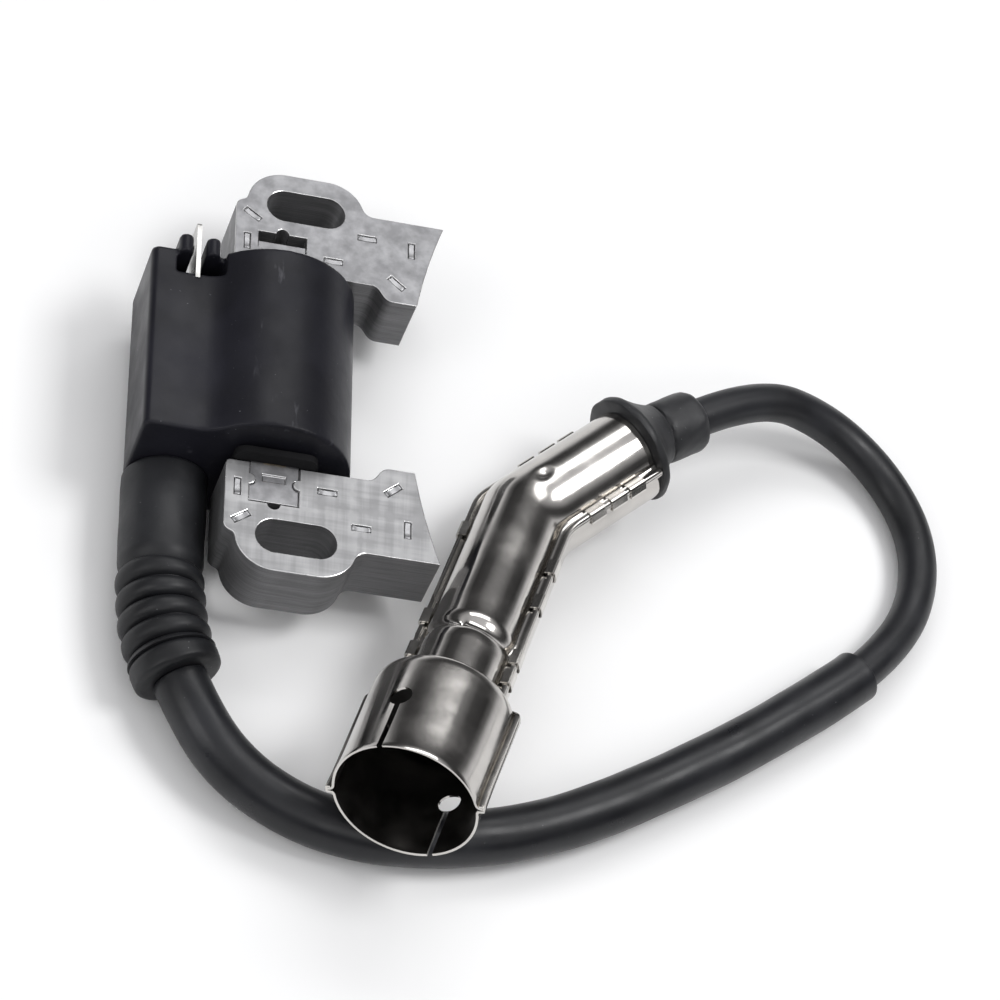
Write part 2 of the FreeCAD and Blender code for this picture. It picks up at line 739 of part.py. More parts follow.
def insulator():
    """Moulded core inside the shield, bored for the plug, the resistor and the lead."""
    profile = [(SEAT, 0), (SEAT, SEAT_RADIUS), (SEAT + SEAT_THICK, SEAT_RADIUS),
               (SEAT + SEAT_THICK, CAP_CORE_RADIUS), (ARM + 10, CAP_CORE_RADIUS), (ARM + 10, 0)]
    lower = turned(profile, 360).common(mitre(1))
    upper = rod(UPPER_WAY * -10, UPPER_WAY, CAP_CORE_RADIUS, UPPER + 9.5).common(mitre(-1))
    body = fuse([lower, upper])
    body = body.cut(rod(V(ARM - SEAT + 1, 0, 0), X * -1, PLUG_BORE, 30))
    body = body.cut(rod(V(ARM, 0, 0), X * -1, 2.75, ARM - 1.0))
    body = body.cut(rod(UPPER_WAY * 0.4, UPPER_WAY, 2.25, 4.0))
    return body.cut(rod(UPPER_WAY * 3.2, UPPER_WAY, LEAD_RADIUS + 0.05, UPPER))


def cap_resistor():
    body = rod(V(5.0, 0, 0), X, 2.6, 12.0)
    caps = [rod(V(x, 0, 0), X, 2.7, 1.5) for x in (4.6, 15.9)]
    return fuse([body] + caps)


def contact_spring():
    """Coil spring between the resistor and the clip, six corners to a turn."""
    points = []
    for corner in range(SPRING_CORNERS + 1):
        angle = math.radians(60 * corner)
        x = SPRING_START + SPRING_LENGTH * corner / SPRING_CORNERS
        points.append(V(x, SPRING_RADIUS * math.cos(angle), SPRING_RADIUS * math.sin(angle)))
    edges, _ = bend_edges(points)
    return hose(edges, SPRING_WIRE)


def plug_clip():
    """Sprung brass socket that snaps onto the plug's terminal."""
    cup = rod(V(23.3, 0, 0), X, 4.2, 9.0).cut(rod(V(24.3, 0, 0), X, 3.4, 9.0))
    slots = [Part.makeBox(7.0, 1.0, 12.0, V(26.0, -0.5, -6.0)) for _ in range(2)]
    slots[1].rotate(V(0, 0, 0), X, 90)
    for slot in slots:
        cup = cup.cut(slot)
    return cup


def plug_seal():
    """Rubber ring at the insulator's nose that seals on the plug's porcelain."""
    outer = rod(V(ARM - SEAT - 0.02, 0, 0), X * -1, PLUG_BORE - 0.02, 5.0)
    return outer.cut(rod(V(ARM - SEAT + 1, 0, 0), X * -1, 4.7, 8.0))


def lead_screw():
    """Pointed screw that bites into the lead's copper core."""
    head = rod(UPPER_WAY * 0.6, UPPER_WAY, 2.2, 2.0)
    shank = rod(UPPER_WAY * 2.5, UPPER_WAY, 1.2, 4.0)
    thread = [rod(UPPER_WAY * (3.5 + 0.9 * i), UPPER_WAY, 1.6, 0.4) for i in range(4)]
    point = Part.makeCone(1.2, 0.1, 2.4, UPPER_WAY * 6.5, UPPER_WAY)
    return fuse([head, shank, point] + thread)


COLLAR_KNEE = UPPER_WAY * (UPPER + 3.5)
COLLAR_END = along(local(LEAD_ENTRY), COLLAR_KNEE, SWIVEL_GAP)


def cap_lead_edges():
    """Middle line of the lead inside the cap, from the screw to the collar's mouth."""
    start = UPPER_WAY * 9.2
    return bend_edges([start, COLLAR_KNEE, COLLAR_END])


def grommet():
    """Rubber bung in the shield's end: plug, wide skirt, cone and collar."""
    way = UPPER_WAY
    base = way * UPPER
    bung = rod(way * (UPPER - 0.4), way, CAP_CORE_RADIUS + 0.4, 1.4)
    skirt = rod(base + way * 0.1, way, GROMMET_RADIUS, 1.7)
    cone = Part.makeCone(GROMMET_RADIUS - 0.4, 6.2, 4.6, base + way * 1.8, way)
    reach = COLLAR_END - COLLAR_KNEE
    collar = rod(COLLAR_KNEE, unit(reach), COLLAR_RADIUS, reach.Length)
    body = fuse([bung, skirt, cone, collar])
    edges, _ = cap_lead_edges()
    return body.cut(hose(edges, LEAD_RADIUS + 0.03))


def export(name, shape):
    solids = shape.Solids
    if not shape.isValid() or not solids:
        raise ValueError(name + " is not a valid solid")
    result = solids[0] if len(solids) == 1 else Part.makeCompound(solids)
    result.exportStep(os.path.join("parts", name + ".step"))
    box = result.BoundBox
    print("%-20s %2d solid  x %7.2f %7.2f  y %7.2f %7.2f  z %7.2f %7.2f" % (
        name, len(solids), box.XMin, box.XMax, box.YMin, box.YMax, box.ZMin, box.ZMax))


def check_hose(name, edges, radius, solid):
    length = sum(edge.Length for edge in edges)
    expected = math.pi * radius ** 2 * length
    print("%s: length %.1f, volume over section times length %.4f" % (
        name, length, solid.Volume / expected))


def main():
    os.makedirs("parts", exist_ok=True)
    spool, rims = secondary_spool()
    coil_wire, coil_jacket = coil_end()
    control = {"control_board": board(), "power_transistor": transistor(),
               "board_parts": board_parts(), "kill_tab": kill_tab(), "output_pin": output_pin()}
    edges, radii = bend_edges(ROUTE)
    print("bend radii:", " ".join("%.1f" % radius for radius in radii))
    print("runs:", " ".join("%.1f" % (b - a).Length for a, b in zip(ROUTE, ROUTE[1:])))
    check_hose("lead", edges, LEAD_RADIUS, hose(edges, LEAD_RADIUS))
    free_wire, free_jacket = wire_and_jacket(edges)
    shield_upper, shield_lower = shield_halves()
    cap_wire, cap_jacket = wire_and_jacket(cap_lead_edges()[0])
    nodes = {
        "tab_side_leg": leg(1),
        "lead_side_leg": leg(-1),
        "core_bar": bar(),
        "case": case(),
        "potting_resin": resin(list(control.values()) + [coil_jacket, coil_wire]),
        "primary_bobbin": primary_bobbin(),
        "primary_winding": ring(PRIMARY, TUBE_WALL, 28, -14),
        "secondary_spool": spool,
        "secondary_winding": secondary_winding(rims),
        "earth_clip": earth_clip(),
        "bellows_boot": boot(),
        "coil_end_wire": coil_wire,
        "coil_end_jacket": coil_jacket,
        "lead_wire": free_wire,
        "lead_jacket": free_jacket,
        "lead_sleeve": sleeve(edges),
        "shield_upper_half": placed(shield_upper),
        "shield_lower_half": placed(shield_lower),
        "cap_insulator": placed(insulator()),
        "cap_resistor": placed(cap_resistor()),
        "contact_spring": placed(contact_spring()),
        "plug_clip": placed(plug_clip()),
        "plug_seal": placed(plug_seal()),
        "lead_screw": placed(lead_screw()),
        "cap_end_wire": placed(cap_wire),
        "cap_end_jacket": placed(cap_jacket),
        "cap_grommet": placed(grommet()),
    }
    nodes.update(control)
    for name, shape in nodes.items():
        export(name, shape)


main()
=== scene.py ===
import math

import bmesh
import bpy
from mathutils import Matrix, Vector


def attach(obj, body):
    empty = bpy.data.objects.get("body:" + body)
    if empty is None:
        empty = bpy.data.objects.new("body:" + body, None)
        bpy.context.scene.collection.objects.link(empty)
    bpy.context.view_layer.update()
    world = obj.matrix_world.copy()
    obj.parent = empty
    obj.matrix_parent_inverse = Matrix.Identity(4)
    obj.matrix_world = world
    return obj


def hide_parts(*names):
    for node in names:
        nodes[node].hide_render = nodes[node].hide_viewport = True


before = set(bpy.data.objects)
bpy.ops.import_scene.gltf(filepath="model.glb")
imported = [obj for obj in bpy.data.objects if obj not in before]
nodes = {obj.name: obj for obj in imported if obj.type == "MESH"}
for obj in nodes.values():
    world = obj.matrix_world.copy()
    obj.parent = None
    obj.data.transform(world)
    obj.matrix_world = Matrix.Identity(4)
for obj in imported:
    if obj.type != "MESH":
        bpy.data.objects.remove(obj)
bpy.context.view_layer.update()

MM = 0.001
SHARP_ANGLE = math.radians(38)


def mm(points):
    """Vectors in metres from triples in millimetres."""
    return [Vector(point) * MM for point in points]


# ---------------------------------------------------------------- camera
CAMERA_LENS = 154.56
CAMERA_PLACE = (-0.134904, -0.431722, 0.614849)
CAMERA_RIGHT = Vector((0.961303, -0.000699, 0.275493))
CAMERA_UP = Vector((-0.151882, 0.832953, 0.532091))


def add_camera():
    data = bpy.data.cameras.new("camera")
    data.lens = CAMERA_LENS
    data.sensor_width = 36.0
    data.clip_start = 0.02
    data.clip_end = 20.0
    camera = bpy.data.objects.new("camera", data)
    back = CAMERA_RIGHT.cross(CAMERA_UP).normalized()
    turn = Matrix((CAMERA_RIGHT, CAMERA_UP, back)).transposed().to_4x4()
    camera.matrix_world = Matrix.Translation(CAMERA_PLACE) @ turn
    bpy.context.scene.collection.objects.link(camera)
    bpy.context.scene.camera = camera


add_camera()

# ---------------------------------------------------------------- lead
LEAD_RADIUS = 3.5
LEAD_BORE = 3.56                    # radius of the boot and the grommet where they hold the lead
LEAD_ROUTE = mm([
    (-16.6, -58.6, 8.0), (-13.4, -65.93, 8.0), (-5.7, -74.6, 6.4), (8.0, -80.8, 4.95),
    (26.0, -82.0, 4.95), (50.0, -75.5, 4.95), (76.0, -59.5, 4.95), (96.0, -44.5, 4.95),
    (109.5, -33.0, 4.95), (118.6, -19.5, 3.55), (120.3, -4.8, 3.55), (114.3, 8.6, 4.0),
    (102.2, 16.5, 7.7), (86.41, 15.40, 14.52), (73.3, 6.6, 15.0),
])


def nurbs_curve(name, points, bevel):
    data = bpy.data.curves.new(name, "CURVE")
    data.dimensions = "3D"
    data.resolution_u = 24
    data.bevel_depth = bevel
    data.bevel_resolution = 12
    data.use_fill_caps = True
    spline = data.splines.new("NURBS")
    spline.points.add(len(points) - 1)
    for control, point in zip(spline.points, points):
        control.co = (*point, 1.0)
    spline.order_u = 3
    spline.use_endpoint_u = True
    curve = bpy.data.objects.new(name, data)
    bpy.context.scene.collection.objects.link(curve)
    return curve


def sampled(points):
    """Points along the NURBS curve through the given control points."""
    curve = nurbs_curve("sampling", points, 0.0)
    bpy.context.view_layer.update()
    graph = bpy.context.evaluated_depsgraph_get()
    mesh = bpy.data.meshes.new_from_object(curve.evaluated_get(graph))
    line = [vertex.co.copy() for vertex in mesh.vertices]
    bpy.data.meshes.remove(mesh)
    bpy.data.objects.remove(curve)
    return line


lead = nurbs_curve("high_tension_lead", LEAD_ROUTE, LEAD_RADIUS * MM)
lead_line = sampled(LEAD_ROUTE)


# ---------------------------------------------------------------- materials
class Paint:
    """A procedural material built from a few shared node recipes."""

    def __init__(self, name, colour, rough, metallic=0.0):
        self.material = bpy.data.materials.new(name)
        self.material.use_nodes = True
        self.tree = self.material.node_tree
        self.shader = self.tree.nodes["Principled BSDF"]
        self.shader.inputs["Base Color"].default_value = (*colour, 1.0)
        self.shader.inputs["Roughness"].default_value = rough
        self.shader.inputs["Metallic"].default_value = metallic
        self.height = None
        self.place = self.tree.nodes.new("ShaderNodeTexCoord").outputs["Object"]

    def set(self, socket, value):
        self.shader.inputs[socket].default_value = value
        return self

    def link(self, a, b):
        self.tree.links.new(a, b)

    def noise(self, scale, detail=4.0, stretch=(1.0, 1.0, 1.0), turn=(0.0, 0.0, 0.0), rough=0.55):
        """Noise with features of about 1/scale metres, stretched along the axes."""
        mapping = self.tree.nodes.new("ShaderNodeMapping")
        mapping.inputs["Scale"].default_value = stretch
        mapping.inputs["Rotation"].default_value = turn
        self.link(self.place, mapping.inputs["Vector"])
        noise = self.tree.nodes.new("ShaderNodeTexNoise")
        noise.inputs["Scale"].default_value = scale
        noise.inputs["Detail"].default_value = detail
        noise.inputs["Roughness"].default_value = rough
        self.link(mapping.outputs["Vector"], noise.inputs["Vector"])
        return noise.outputs["Fac"]

    def ramp(self, value, low, high, start=0.0, end=1.0):
        """Map the span low..high of a value to start..end."""
        node = self.tree.nodes.new("ShaderNodeMapRange")
        for socket, number in (("From Min", low), ("From Max", high),
                               ("To Min", start), ("To Max", end)):
            node.inputs[socket].default_value = number
        self.link(value, node.inputs["Value"])
        return node.outputs["Result"]

    def mixed(self, factor, first, second):
        """Colour between two, each a triple or a socket."""
        node = self.tree.nodes.new("ShaderNodeMix")
        node.data_type = "RGBA"
        self.link(factor, node.inputs["Factor"])
        for socket, value in ((node.inputs[6], first), (node.inputs[7], second)):
            if isinstance(value, tuple):
                socket.default_value = (*value, 1.0)
            else:
                self.link(value, socket)
        return node.outputs[2]

    def paint(self, colour):
        self.link(colour, self.shader.inputs["Base Color"])
        return self

    def gloss(self, value):
        self.link(value, self.shader.inputs["Roughness"])
        return self

    def bump(self, value, depth):
        """Raise the surface by a value times a depth in millimetres."""
        node = self.tree.nodes.new("ShaderNodeBump")
        node.inputs["Distance"].default_value = depth * MM
        self.link(value, node.inputs["Height"])
        if self.height is not None:
            self.link(self.height, node.inputs["Normal"])
        self.height = node.outputs["Normal"]
        self.link(self.height, self.shader.inputs["Normal"])
        return self

    def upward(self):
        """1 on faces that look up, 0 on walls."""
        geometry = self.tree.nodes.new("ShaderNodeNewGeometry")
        split = self.tree.nodes.new("ShaderNodeSeparateXYZ")
        self.link(geometry.outputs["Normal"], split.inputs["Vector"])
        return self.ramp(split.outputs["Z"], 0.5, 0.9)


def moulded(name, colour, rough, grain=900.0, depth=0.02, dust=0.5, spread=0.35):
    """Moulded rubber or plastic: mottled gloss, fine grain, faint dust specks."""
    paint = Paint(name, colour, rough)
    cloud = paint.noise(60.0, 5.0)
    light = tuple(min(1.0, c * (1.0 + spread) + 0.004) for c in colour)
    dark = tuple(c * (1.0 - spread) for c in colour)
    base = paint.mixed(paint.ramp(cloud, 0.35, 0.65), dark, light)
    speck = paint.ramp(paint.noise(1500.0, 2.0), 0.74, 0.80, 0.0, dust)
    paint.paint(paint.mixed(speck, base, (0.30, 0.30, 0.31)))
    paint.gloss(paint.ramp(paint.noise(140.0, 6.0), 0.3, 0.7, rough - 0.07, rough + 0.1))
    paint.bump(paint.noise(grain, 3.0), depth)
    paint.bump(cloud, depth * 3)
    return paint


def metal(name, colour, rough, spread=0.12, depth=0.006, scale=700.0):
    """Bright metal: drawn grain, tarnish clouds."""
    paint = Paint(name, colour, rough, 1.0)
    cloud = paint.noise(180.0, 5.0)
    dull = tuple(c * (1.0 - spread * 2) for c in colour)
    paint.paint(paint.mixed(paint.ramp(cloud, 0.3, 0.7), dull, colour))
    paint.gloss(paint.ramp(paint.noise(320.0, 6.0), 0.3, 0.7, max(rough - 0.06, 0.03), rough + 0.1))
    paint.bump(paint.noise(scale, 3.0), depth)
    return paint


def lamination_steel(name, scratch):
    """Stacked sheets: brushed pale faces above, darker sheared walls."""
    paint = Paint(name, (0.42, 0.42, 0.43), 0.42, 0.55)
    if scratch:
        along = paint.noise(260.0, 4.0, (0.12, 2.2, 1.0))
        across = paint.noise(260.0, 4.0, (2.2, 0.12, 1.0))
        grain = paint.mixed(paint.noise(90.0, 3.0), (0.0, 0.0, 0.0), (1.0, 1.0, 1.0))
        marks = paint.tree.nodes.new("ShaderNodeMath")
        marks.operation = "ADD"
        paint.link(along, marks.inputs[0])
        paint.link(across, marks.inputs[1])
        face = paint.mixed(paint.ramp(marks.outputs[0], 0.85, 1.15),
                           (0.25, 0.25, 0.255), (0.35, 0.35, 0.355))
        paint.bump(marks.outputs[0], 0.02)
        paint.bump(grain, 0.004)
    else:
        blotch = paint.noise(420.0, 7.0)
        face = paint.mixed(paint.ramp(blotch, 0.38, 0.64),
                           (0.22, 0.22, 0.228), (0.32, 0.32, 0.33))
        paint.bump(blotch, 0.02)
    layers = paint.noise(330.0, 3.0, (0.25, 0.25, 6.0))
    wall = paint.mixed(paint.ramp(layers, 0.35, 0.65), (0.15, 0.15, 0.155), (0.21, 0.21, 0.215))
    top = paint.upward()
    paint.paint(paint.mixed(top, wall, face))
    paint.gloss(paint.ramp(paint.noise(300.0, 5.0), 0.3, 0.7, 0.34, 0.5))
    return paint


def enamelled_copper():
    paint = metal("enamelled_copper", (0.72, 0.28, 0.12), 0.26)
    turns = paint.noise(500.0, 1.0, (0.2, 6.0, 0.2))
    paint.bump(turns, 0.1)
    return paint


def lead_rubber(name, colour, rough):
    paint = moulded(name, colour, rough, 1100.0, 0.016, 0.25)
    paint.set("Specular IOR Level", 0.35)
    return paint


def satin_case():
    """Black case plastic: blue cast, scuffs and lint."""
    paint = Paint("case_plastic", (0.0165, 0.0165, 0.0235), 0.42).set("Specular IOR Level", 0.2)
    cloud = paint.noise(45.0, 5.0)
    base = paint.mixed(paint.ramp(cloud, 0.35, 0.65), (0.009, 0.009, 0.0125), (0.017, 0.017, 0.024))
    scuff = paint.noise(520.0, 5.0, (1.0, 0.22, 1.0), (0.0, 0.0, 0.5))
    patch = paint.ramp(paint.noise(75.0, 2.0), 0.56, 0.68)
    gate = paint.tree.nodes.new("ShaderNodeMath")
    gate.operation = "MULTIPLY"
    paint.link(paint.ramp(scuff, 0.60, 0.70, 0.0, 0.35), gate.inputs[0])
    paint.link(patch, gate.inputs[1])
    base = paint.mixed(gate.outputs[0], base, (0.16, 0.16, 0.18))
    speck = paint.ramp(paint.noise(1300.0, 2.0), 0.755, 0.80, 0.0, 0.55)
    paint.paint(paint.mixed(speck, base, (0.33, 0.33, 0.36)))
    paint.gloss(paint.ramp(paint.noise(110.0, 6.0), 0.3, 0.7, 0.30, 0.46))
    paint.bump(paint.noise(700.0, 4.0), 0.02)
    paint.bump(cloud, 0.12)
    return paint


def shield_nickel(name, rough, colour=(0.66, 0.635, 0.60)):
    """Bright nickel on drawn sheet: clear reflections with hazy smudges."""
    paint = Paint(name, colour, rough, 1.0)
    haze = paint.noise(85.0, 6.0)
    drawn = paint.noise(200.0, 4.0)
    paint.paint(paint.mixed(paint.ramp(drawn, 0.3, 0.7),
                            tuple(c * 0.86 for c in colour), colour))
    paint.gloss(paint.ramp(haze, 0.42, 0.72, rough, rough + 0.2))
    paint.bump(paint.noise(110.0, 3.0), 0.018)
    paint.bump(paint.noise(1200.0, 2.0), 0.003)
    return paint


PAINTS = {
    "core_steel": lamination_steel("core_steel", True),
    "case_plastic": satin_case(),
    "resin": moulded("potting_resin", (0.02, 0.019, 0.018), 0.3, 300.0, 0.05, 0.1),
    "bobbin_plastic": moulded("bobbin_nylon", (0.006, 0.006, 0.007), 0.6, 700.0, 0.03, 0.05).set(
        "Specular IOR Level", 0.15),
    "copper": enamelled_copper(),
    "board": moulded("board_laminate", (0.02, 0.11, 0.05), 0.38, 500.0, 0.03, 0.2),
    "component_plastic": moulded("component_epoxy", (0.03, 0.03, 0.032), 0.4, 900.0, 0.02, 0.1),
    "brass": metal("brass", (0.78, 0.57, 0.25), 0.22),
    "tinned_brass": metal("tinned_brass", (0.52, 0.515, 0.50), 0.3),
    "boot_rubber": moulded("boot_rubber", (0.0095, 0.010, 0.012), 0.44, 800.0, 0.03, 0.4).set(
        "Specular IOR Level", 0.35),
    "jacket": lead_rubber("lead_jacket_rubber", (0.011, 0.0115, 0.014), 0.38),
    "sleeve": lead_rubber("sleeve_rubber", (0.0095, 0.010, 0.0125), 0.34),
    "shield_steel": shield_nickel("nickel_shell", 0.09, (0.58, 0.56, 0.535)),
    "insulator": moulded("phenolic_core", (0.012, 0.011, 0.010), 0.35, 500.0, 0.04, 0.1),
    "ceramic": moulded("resistor_ceramic", (0.62, 0.58, 0.50), 0.4, 900.0, 0.03, 0.05),
    "spring_steel": metal("spring_steel", (0.56, 0.56, 0.57), 0.2),
}
FAR_STEEL = lamination_steel("core_steel_oiled", False)
# pale metal for the bevelled core edges: the burr's rounding is geometry, its pale colour a painted
# highlight
BURR_PAINTED_HIGHLIGHT = metal("sheared_burr_painted_highlight", (0.86, 0.86, 0.86), 0.22)
# brighter copy of the nickel for the shells' rims and the folded tabs: painted highlight
HEM_PAINTED_HIGHLIGHT = shield_nickel("nickel_edge_painted_highlight", 0.14, (0.66, 0.64, 0.61))
# paler, fully metallic steel for the lanced strips: painted highlight in the dimples
STRIP_PAINTED_HIGHLIGHT = metal("lanced_strip_painted_highlight", (0.42, 0.42, 0.43), 0.4)
# darkened nickel for the shells' inner faces: painted shade inside the bell and the arms
INSIDE_PAINTED_SHADE = metal("nickel_inside_painted_shade", (0.17, 0.16, 0.15), 0.34)
LINTY_RUBBER = moulded("grommet_rubber", (0.011, 0.0115, 0.0135), 0.46, 600.0, 0.05, 0.8)


def wear(piece, *paints):
    """Give the piece these paints, in order, in place of its own."""
    piece.data.materials.clear()
    for paint in paints:
        piece.data.materials.append(paint.material)


# ---------------------------------------------------------------- mesh helpers
def add_mesh(name, points, faces, slot, body, *paints, smooth=True):
    mesh = bpy.data.meshes.new(name)
    mesh.from_pydata([tuple(point) for point in points], [], faces)
    mesh.validate()
    piece = bpy.data.objects.new(name, mesh)
    bpy.context.scene.collection.objects.link(piece)
    return dress(piece, slot, body, paints, smooth)


def dress(piece, slot, body, paints, smooth=True):
    """Paint the piece, with its slot's paint where none are given, and set the body it rides on."""
    wear(piece, *(paints or [PAINTS[slot]]))
    shade(piece, smooth)
    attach(piece, body)
    return piece


def shade(piece, smooth=True):
    """Smooth shading with sharp creases, or flat shading."""
    for polygon in piece.data.polygons:
        polygon.use_smooth = smooth
    if smooth:
        piece.data.set_sharp_from_angle(angle=SHARP_ANGLE)


def baked(piece):
    """Replace the piece's mesh by what its modifiers make of it."""
    bpy.context.view_layer.update()
    graph = bpy.context.evaluated_depsgraph_get()
    mesh = bpy.data.meshes.new_from_object(piece.evaluated_get(graph))
    piece.modifiers.clear()
    piece.data = mesh
    return piece


class Path:
    """A polyline with parallel-carried frames, read by arc length and run on past its ends."""

    def __init__(self, points, side=Vector((0.0, 0.0, 1.0))):
        self.points = [Vector(point) for point in points]
        self.lengths = [0.0]
        for a, b in zip(self.points, self.points[1:]):
            self.lengths.append(self.lengths[-1] + (b - a).length)
        ways = [(b - a).normalized() for a, b in zip(self.points, self.points[1:])]
        self.ways = [ways[0]]
        self.ways += [(a + b).normalized() for a, b in zip(ways, ways[1:])] + [ways[-1]]
        self.sides = []
        for way in self.ways:
            side = (side - way * side.dot(way)).normalized()
            self.sides.append(side)

    def at(self, s):
        """Point, across and side vectors at a distance along the path."""
        last = len(self.points) - 2
        index = 0
        while index < last and self.lengths[index + 1] < s:
            index += 1
        span = self.lengths[index + 1] - self.lengths[index]
        share = (s - self.lengths[index]) / span
        point = self.points[index].lerp(self.points[index + 1], share)
        share = min(max(share, 0.0), 1.0)
        way = self.ways[index].lerp(self.ways[index + 1], share).normalized()
        side = self.sides[index].lerp(self.sides[index + 1], share).normalized()
        return point, side.cross(way).normalized(), side


def swept(path, profile, segments=72, wobble=None):
    """Closed skin round a path from a closed profile of (distance, radius) in millimetres."""
    points = []
    for s, r in profile:
        point, across, side = path.at(s * MM)
        for k in range(segments):
            angle = 2 * math.pi * k / segments
            radius = r + (wobble(s, r, angle) if wobble else 0.0)
            points.append(point + (across * math.cos(angle) + side * math.sin(angle)) * radius * MM)
    count = len(profile)
    faces = []
    for i in range(count):
        a, b = i * segments, ((i + 1) % count) * segments
        for k in range(segments):
            j = (k + 1) % segments
            faces.append((a + k, a + j, b + j, b + k))
    return points, faces


def spaced(start, end, step):
    """Evenly spaced distances from start to end, about a step apart."""
    count = max(1, round(abs(end - start) / step))
    return [start + (end - start) * i / count for i in range(count + 1)]


def ripple(phase, *waves):
    """Sum of sines: waves are (size, turns per millimetre, turns round)."""
    def value(s, _, angle):
        return sum(size * math.sin(2 * math.pi * rate * s + turns * angle + phase * (n + 1))
                   for n, (size, rate, turns) in enumerate(waves))
    return value


# ---------------------------------------------------------------- boot
TOWER = Vector((-20.9, -18.7, 8.0)) * MM
TOWER_REACH = 9.2                   # depth of the boot's wide bore over the case's stub
TOWER_BORE = 5.5
BOOT_STRAIGHT = 19.3
BOOT_TURN = math.radians(23.6)
BOOT_RADIUS = 7.5
BOOT_EXIT = LEAD_ROUTE[0]


def boot_path():
    """Straight off the tower, then an arc that meets the lead."""
    bend = TOWER + Vector((0.0, -BOOT_STRAIGHT * MM, 0.0))
    reach = BOOT_EXIT - bend
    radius = reach.x / (1 - math.cos(BOOT_TURN))
    points = [TOWER, bend]
    for step in range(1, 25):
        angle = BOOT_TURN * step / 24
        offset = Vector((radius * (1 - math.cos(angle)), -radius * math.sin(angle), 0.0))
        points.append(bend + offset)
    points[-1] = BOOT_EXIT
    return Path(points)


RIB_FIRST = 21.9
RIB_PITCH = 3.75
RIB_RADIUS = 7.83
BOOT_GROOVE = 6.0


def boot_radius(s, end):
    """Outside radius of the boot at a distance from the case."""
    if s < RIB_FIRST - RIB_PITCH / 2:
        edge = max(0.0, 1.0 - (s / 0.8)) ** 2 * 0.5
        fade = max(0.0, (s - 17.6) / 2.6) ** 2
        return BOOT_RADIUS - edge - fade * 0.9
    if s > end - 4.1:
        away = (s - (end - 2.0)) / 2.1
        return 6.7 + 1.1 * math.sqrt(max(0.0, 1 - away ** 4)) - max(0.0, s - end + 0.6) * 0.6
    turn = (s - RIB_FIRST) / RIB_PITCH
    away = abs(turn - round(turn)) * 2
    return BOOT_GROOVE + (RIB_RADIUS - BOOT_GROOVE) * math.sqrt(max(0.0, 1 - away ** 2.4))


def build_boot():
    path = boot_path()
    end = path.lengths[-1] / MM
    outside = [(s, boot_radius(s, end)) for s in spaced(0.0, end, 0.16)]
    inside = [(end, LEAD_BORE), (TOWER_REACH + 0.1, LEAD_BORE),
              (TOWER_REACH, TOWER_BORE), (0.0, TOWER_BORE)]
    sag = ripple(0.7, (0.05, 0.03, 2), (0.035, 0.11, 3))

    def wobble(s, r, angle):
        ribbed = s > RIB_FIRST - 2 and r > 6.6
        lean = 0.16 * math.sin(angle + 0.9 + s * 0.3) if ribbed else 0.0
        return (sag(s, r, angle) - 0.06) * (r > 5.6) + min(lean, 0.0)
    points, faces = swept(path, outside + inside, 96, wobble)
    boot = add_mesh("bellows_boot_skin", points, faces, "boot_rubber", "root")
    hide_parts("bellows_boot")
    return boot


boot = build_boot()

# ---------------------------------------------------------------- sleeve
SLEEVE_END = Vector((106.4, -36.3, 4.95)) * MM
SLEEVE_OUTER = 4.88
SLEEVE_INNER = 3.62


def build_sleeve():
    path = Path(lead_line)
    nearest = min(range(len(lead_line)), key=lambda i: (lead_line[i] - SLEEVE_END).length)
    end = path.lengths[nearest] / MM
    outside = [(0.0, SLEEVE_OUTER - 0.3), (0.3, SLEEVE_OUTER)]
    outside += [(s, SLEEVE_OUTER) for s in spaced(1.0, end - 1.4, 1.0)]
    outside += [(end - 1.0, SLEEVE_OUTER + 0.02), (end - 0.5, SLEEVE_OUTER + 0.04),
                (end - 0.12, SLEEVE_OUTER + 0.02), (end, SLEEVE_OUTER - 0.12)]
    inside = [(end, SLEEVE_INNER + 0.15), (end - 0.4, SLEEVE_INNER)]
    inside += [(s, SLEEVE_INNER) for s in spaced(end - 2.0, 0.0, 2.0)]
    wave = ripple(1.3, (0.035, 0.021, 1), (0.03, 0.043, 2), (0.015, 0.09, 1))
    points, faces = swept(path, outside + inside, 72,
                          lambda s, r, a: (wave(s, r, a) - 0.06) * (r > 4))
    sleeve = add_mesh("lead_sleeve_skin", points, faces, "sleeve", "root")
    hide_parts("lead_sleeve")
    return sleeve


sleeve = build_sleeve()

# ---------------------------------------------------------------- plug cap
ELBOW = Vector((42.4, -17.9, 12.5)) * MM
# the cap's own axes: out along the long arm, across it, and up through the seam
CAP_X = Vector((-0.329697, -0.932055, 0.150242))
CAP_Y = Vector((0.875885, -0.242594, 0.417102))
CAP_Z = Vector((-0.352314, 0.269112, 0.896356))
ARM = 71.884                        # from the elbow to the bell's mouth
UPPER = 24.036                      # from the elbow to the shield's end at the lead
ANGLE = math.radians(146.62)
WAY = Vector((math.cos(ANGLE), math.sin(ANGLE), 0.0))
LATERAL = Vector((math.sin(ANGLE), -math.cos(ANGLE), 0.0))
MITRE = math.tan((math.pi - ANGLE) / 2)
BELL_RADIUS = 12.55
NECK = 7.7
LOWER_WIDE = 8.9
LOWER_DEEP = 8.45
HEM_REACH = 9.65
SHEET = 0.42


def out(point):
    """Point in metres in the shared frame, from the cap's own millimetres."""
    return ELBOW + (CAP_X * point[0] + CAP_Y * point[1] + CAP_Z * point[2]) * MM


